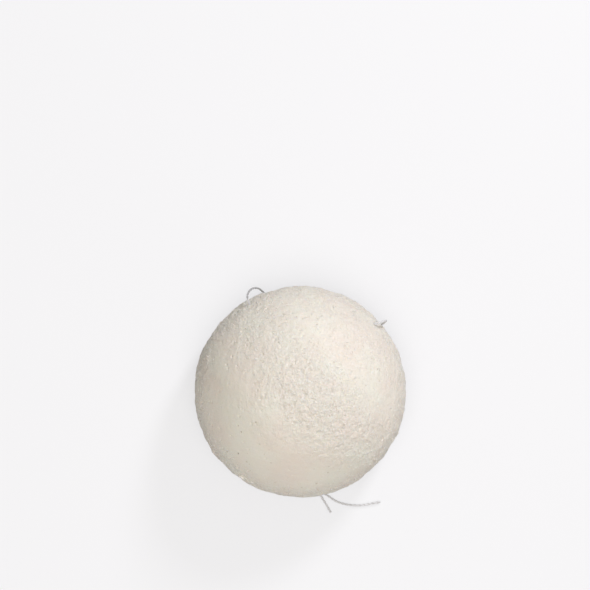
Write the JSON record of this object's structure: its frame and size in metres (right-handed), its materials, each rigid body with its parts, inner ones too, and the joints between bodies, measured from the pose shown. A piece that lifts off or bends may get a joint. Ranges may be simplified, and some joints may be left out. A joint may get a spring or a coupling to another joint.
{
  "type": "konjac facial sponge",
  "caption": "Domed face-washing sponge of dried konjac foam, flat backed, with a knotted cotton thread loop to hang it up by.",
  "frame": {"origin": "centre of the resting face, in the plane of the seat ring that the sponge stands on", "axes": "+Z up through the top of the dome; +Y towards the edge beside the two stitch holes, uppermost when it hangs; +X to the right for someone who looks at the dome with +Y up"},
  "size_m": [0.08, 0.0865, 0.042],
  "materials": {
    "konjac_foam": "matt, finely pitted dried vegetable-fibre foam, cream white and a little translucent",
    "cotton_thread": "matt white twisted cotton that looks pale grey, a little fuzzy, frayed at the cut ends"
  },
  "bodies": {
    "root": {"sponge": "konjac_foam", "string_through": "cotton_thread", "string_left": "cotton_thread", "string_right": "cotton_thread", "knot": "cotton_thread", "tail_long": "cotton_thread", "tail_short": "cotton_thread"}
  },
  "joints": []
}
